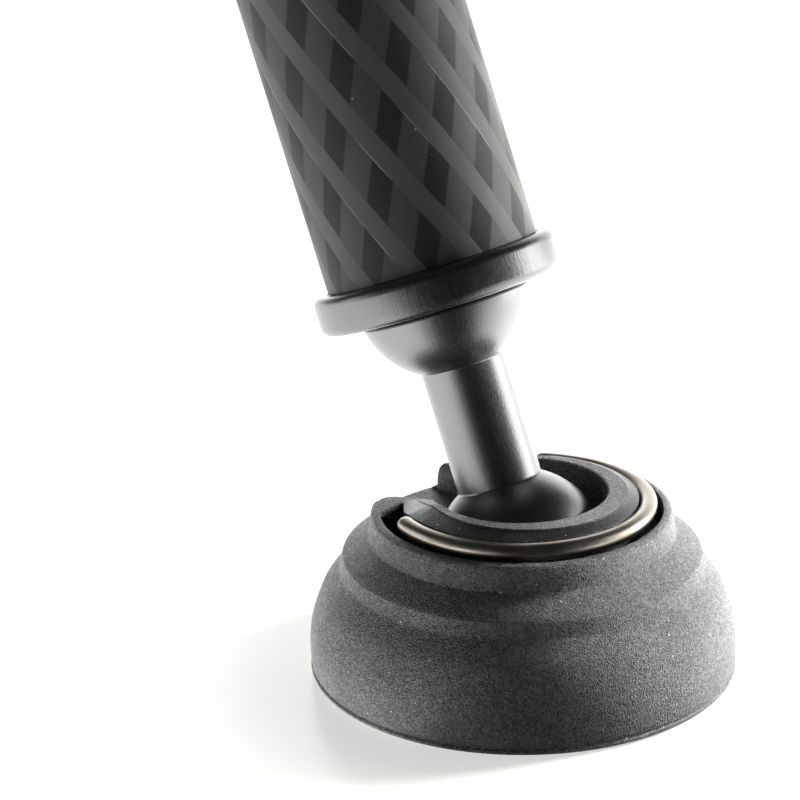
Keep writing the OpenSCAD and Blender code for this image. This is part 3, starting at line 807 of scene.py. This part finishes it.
piece(spun(plug_outline, 160), "end_plug_turned", "lower_leg", flange_metal,
      ["end_plug"], on_leg)

# %% [markdown]
# ## The tubes
# Each tube is wound on a mandrel, cured, and cut to length, so its ends are plain with a hair of a
# bevel. All four come from one loop, because only their sizes and the bodies they ride on differ.

# %% Wind the tubes
TUBE_BEVEL = 0.1
tube_low = {1: LOCK_LOW[1] + 20, 2: LOCK_LOW[2] + 20, 3: LOCK_LOW[3] + 20, 4: FLANGE_TOP}
tube_top = {1: TUBE_1_TOP, 2: TUBE_1_TOP - 24, 3: TUBE_1_TOP - 25, 4: TUBE_1_TOP - 86}
tube_body = {1: "upper_leg", 2: "second_leg", 3: "third_leg", 4: "lower_leg"}
for k in (1, 2, 3, 4):
    r, low, top = TUBE_R[k], tube_low[k], tube_top[k]
    rings = [low + TUBE_BEVEL + (top - low - 2 * TUBE_BEVEL) * i / 24 for i in range(25)]
    outline = [(r - TUBE_WALL, low), (r - TUBE_BEVEL, low)] + [(r, z) for z in rings]
    outline += [(r - TUBE_BEVEL, top), (r - TUBE_WALL, top)]
    piece(spun(outline, 128), f"tube_{k}_wound", tube_body[k], carbon_tube,
          [f"tube_{k}"], on_leg)

# %% [markdown]
# ## Pieces that keep their measured solid
# The rest of the leg is shown as it was drawn, because the solids have its ribs, grooves and bevels
# already. Each one gets the finish of its real counterpart in place of the plain colour it came
# with. Drawing them again would only add a second set of sizes to keep in step.

# %% Dress the measured solids
dressing = {
    "stud_washer": seal_rubber, "grip_sleeve": grip_rubber, "platform_pad": pad_rubber,
    "grip_ring_lower": dark_metal, "grip_ring_upper": dark_metal, "top_plug": dark_metal,
    "platform": dark_metal, "camera_screw": screw_steel, "set_screws": screw_steel,
    "guide_2": guide_plastic, "guide_3": guide_plastic, "guide_4": guide_plastic,
}
lock_dressing = {
    "ferrule": dark_metal, "ring": dark_metal, "grip": lock_rubber,
    "collet": collet_plastic, "seal": seal_rubber, "washer": slip_plastic,
}
for k in (1, 2, 3):
    dressing.update({f"lock_{k}_{part}": finish for part, finish in lock_dressing.items()})
for name, finish in dressing.items():
    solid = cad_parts[name]
    solid.data.materials.clear()
    solid.data.materials.append(finish)
print("dressed solids:", len(dressing))

# %% [markdown]
# ## The table
# The leg stands on a white table between soft boxes, with nothing bright in front. So the sides of
# the metal shine and its middle stays dark. The camera sees a plain pale floor that is a little
# darker round the foot, a painted shadow, and that also takes the foot's shadow from the lamps. Rays
# that light the object or show in the metal meet another table: it glows at the sides, most of all
# at the right and behind, and is dark towards the front. This glow is stronger than white and works
# as a lamp. Lamps hidden from the camera could do the same, but a glow that lies in the table is
# mirrored where the table is.
# The floor goes with the lowest tube, so the foot stays on it when the leg is drawn out.

# %% Floor
floor_mesh = bpy.data.meshes.new("floor")
floor_mesh.from_pydata([(-4, -4, 0), (4, -4, 0), (4, 4, 0), (-4, 4, 0)], [], [(0, 1, 2, 3)])
floor = bpy.data.objects.new("floor", floor_mesh)
bpy.context.scene.collection.objects.link(floor)
floor.location.z = -0.0002
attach(floor, "lower_leg")
floor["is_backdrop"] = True
print("floor:", tuple(floor.dimensions[:2]), "metres")

# %% Light on the table
table = Finish("milk white table")
at = table.apart()
squares = [table.math("POWER", at[axis], 2.0) for axis in ("X", "Y")]
reach = table.math("SQRT", table.math("ADD", *squares))


def facing(degrees):
    """1 for places on the table in this direction, -1 opposite; 0 degrees is the camera's side."""
    turn = VIEW + math.radians(degrees)
    along = table.math("SUBTRACT", table.math("MULTIPLY", at["X"], math.sin(turn)),
                       table.math("MULTIPLY", at["Y"], math.cos(turn)))
    return table.math("DIVIDE", along, table.math("MAXIMUM", reach, 1e-4))


seen = table.shader
seen.inputs["Base Color"].default_value = (0.42, 0.41, 0.39, 1)
seen.inputs["Roughness"].default_value = 0.25
seen.inputs["Emission Color"].default_value = (1.0, 0.99, 0.97, 1)
# Painted shadow: the floor's glow is turned down round the foot.
floor_glow_with_painted_shadow = table.spread(reach, 0.026, 0.052, 0.62, 1.0, smooth=True)
table.put(seen.inputs["Emission Strength"], floor_glow_with_painted_shadow)
side_glow = table.spread(facing(12), 0.55, 0.93, 2.0, 0.02, smooth=True)
right_glow = table.spread(facing(140), 0.4, 0.85, 0.0, 1.6, smooth=True)
near_glow = table.spread(reach, 0.026, 0.04, 0.25, 0.0, smooth=True)
unseen = table.tree.nodes.new("ShaderNodeEmission")
glow = table.math("MAXIMUM", table.math("ADD", side_glow, right_glow), near_glow)
table.put(unseen.inputs["Strength"], glow)
path = table.tree.nodes.new("ShaderNodeLightPath")
choose = table.tree.nodes.new("ShaderNodeMixShader")
table.put(choose.inputs[0], path.outputs["Is Camera Ray"])
table.put(choose.inputs[1], unseen.outputs[0])
table.put(choose.inputs[2], seen.outputs[0])
table.put(table.tree.nodes["Material Output"].inputs["Surface"], choose.outputs[0])
floor_mesh.materials.append(table.material)
print("table nodes:", len(table.tree.nodes))

# %% [markdown]
# ## The backdrop
# Behind the object hangs a white backdrop. It is a world colour of strength 1, shown to the camera,
# and to mirrored rays only in the part behind the object. For all other rays the world is nearly
# dark, so the lamps and the table set how bright the object is. A white sheet would do too, but it
# would have to stand on every side that the object may be seen from.

# %% Background
world = bpy.data.worlds.new("studio")
bpy.context.scene.world = world
world.use_nodes = True
tree = world.node_tree


def world_math(kind, a, b):
    """Works out one value from two node outputs of the world."""
    node = tree.nodes.new("ShaderNodeMath")
    node.operation = kind
    tree.links.new(a, node.inputs[0])
    tree.links.new(b, node.inputs[1])
    return node.outputs[0]


white = tree.nodes["Background"]
white.inputs["Color"].default_value = (1, 1, 1, 1)
white.inputs["Strength"].default_value = 1.0
dim = tree.nodes.new("ShaderNodeBackground")
dim.inputs["Color"].default_value = (0.02, 0.02, 0.02, 1)
away = tree.nodes.new("ShaderNodeVectorMath")
away.operation = "DOT_PRODUCT"
away.inputs[1].default_value = backwards
tree.links.new(tree.nodes.new("ShaderNodeTexCoord").outputs["Generated"], away.inputs[0])
behind = tree.nodes.new("ShaderNodeMapRange")
behind.interpolation_type = "SMOOTHSTEP"
behind.inputs["From Min"].default_value = 0.6
behind.inputs["From Max"].default_value = 0.95
tree.links.new(away.outputs["Value"], behind.inputs["Value"])
path = tree.nodes.new("ShaderNodeLightPath").outputs
mirrored = world_math("MAXIMUM", path["Is Glossy Ray"], path["Is Transmission Ray"])
mirrored = world_math("MULTIPLY", mirrored, behind.outputs["Result"])
choose = tree.nodes.new("ShaderNodeMixShader")
tree.links.new(world_math("MAXIMUM", path["Is Camera Ray"], mirrored), choose.inputs[0])
tree.links.new(dim.outputs[0], choose.inputs[1])
tree.links.new(white.outputs[0], choose.inputs[2])
tree.links.new(choose.outputs[0], tree.nodes["World Output"].inputs["Surface"])
print("world nodes:", len(tree.nodes))

# %% [markdown]
# ## The lamps
# Three soft boxes stand at the right, at the left and behind. A fourth, small lamp with a narrow
# beam rakes over the foot from the right, high enough that the steps of the foot cast shade. It is
# left out of the reflections, because the metal already mirrors the right box. All four hang on the
# floor, so they go with it.


# %% Soft boxes
def around(degrees, distance, up):
    """A place round the object; the angle is taken from the camera's side towards the right."""
    turn = math.radians(degrees)
    right, away = distance * math.sin(turn), -distance * math.cos(turn)
    c, s = math.cos(VIEW), math.sin(VIEW)
    return Vector((c * right - s * away, s * right + c * away, up))


def soft_box(name, place, aim, width, height, power, beam=180):
    light = bpy.data.lights.new(name, "AREA")
    light.shape = "RECTANGLE"
    light.size, light.size_y, light.energy = width, height, power
    light.spread = math.radians(beam)
    obj = bpy.data.objects.new(name, light)
    bpy.context.scene.collection.objects.link(obj)
    obj.location = place
    obj.rotation_euler = (aim - place).to_track_quat("-Z", "Y").to_euler()
    obj.parent = floor
    print(f"{name}: {power} W")
    return obj


on_ball, under_foot = Vector((0, 0, 0.04)), Vector((0, 0, -0.03))
rim_light = soft_box("right rim light", around(114, 0.42, 0.16), under_foot, 0.2, 0.14, 0.42,
                     beam=20)
rim_light.visible_glossy = False
soft_box("right box", around(104, 0.8, 0.2), on_ball, 0.5, 0.42, 3.6)
soft_box("left box", around(-92, 0.9, 0.2), on_ball, 0.45, 0.26, 0.6)
soft_box("back box", around(165, 1.1, 0.3), on_ball, 1.8, 0.6, 5)

# %% [markdown]
# ## The camera
# The camera stands close to the foot with a long lens and looks down on it. Its place and turn were
# fitted to the edges of the foot and leg, so that the drawn edges fall on those of the photo. The
# lens is given as its length in picture widths, times the width of the sensor.

# %% Camera
DISTANCE, AIM_Z = 0.2819, 0.015
rise, pitch, yaw, roll = (math.radians(v) for v in (22.93, -3.35, 3.02, -1.56))
PICTURE_WIDTH, LENS_PIXELS = 800, 2416
spin_z = Matrix.Rotation(VIEW, 3, "Z")
stand = spin_z @ Vector((0, -DISTANCE * math.cos(rise), AIM_Z + DISTANCE * math.sin(rise)))
level = Vector((0, math.cos(rise + pitch), -math.sin(rise + pitch)))
ahead = spin_z @ Matrix.Rotation(yaw, 3, "Z") @ level
flat_right = ahead.cross(Vector((0, 0, 1))).normalized()
flat_up = flat_right.cross(ahead)
right = flat_right * math.cos(roll) + flat_up * math.sin(roll)
above = flat_up * math.cos(roll) - flat_right * math.sin(roll)
lens = bpy.data.cameras.new("camera")
lens.sensor_width = 36.0
lens.lens = LENS_PIXELS / PICTURE_WIDTH * lens.sensor_width
lens.clip_start, lens.clip_end = 0.01, 20.0
camera = bpy.data.objects.new("camera", lens)
bpy.context.scene.collection.objects.link(camera)
turned_to = Matrix((right, above, -ahead)).transposed().to_4x4()
camera.matrix_world = Matrix.Translation(stand) @ turned_to
bpy.context.scene.camera = camera
bpy.context.scene.view_settings.view_transform = "Standard"
print("camera at", tuple(round(v, 4) for v in stand))

# %% [markdown]
# ## Measuring what was made
# The dressed object has to stay inside the measured one. Its box is worked out here and printed.

# %% Work out the dressed box
low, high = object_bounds()
print("dressed box:", [round(v, 4) for v in (*low, *high)])
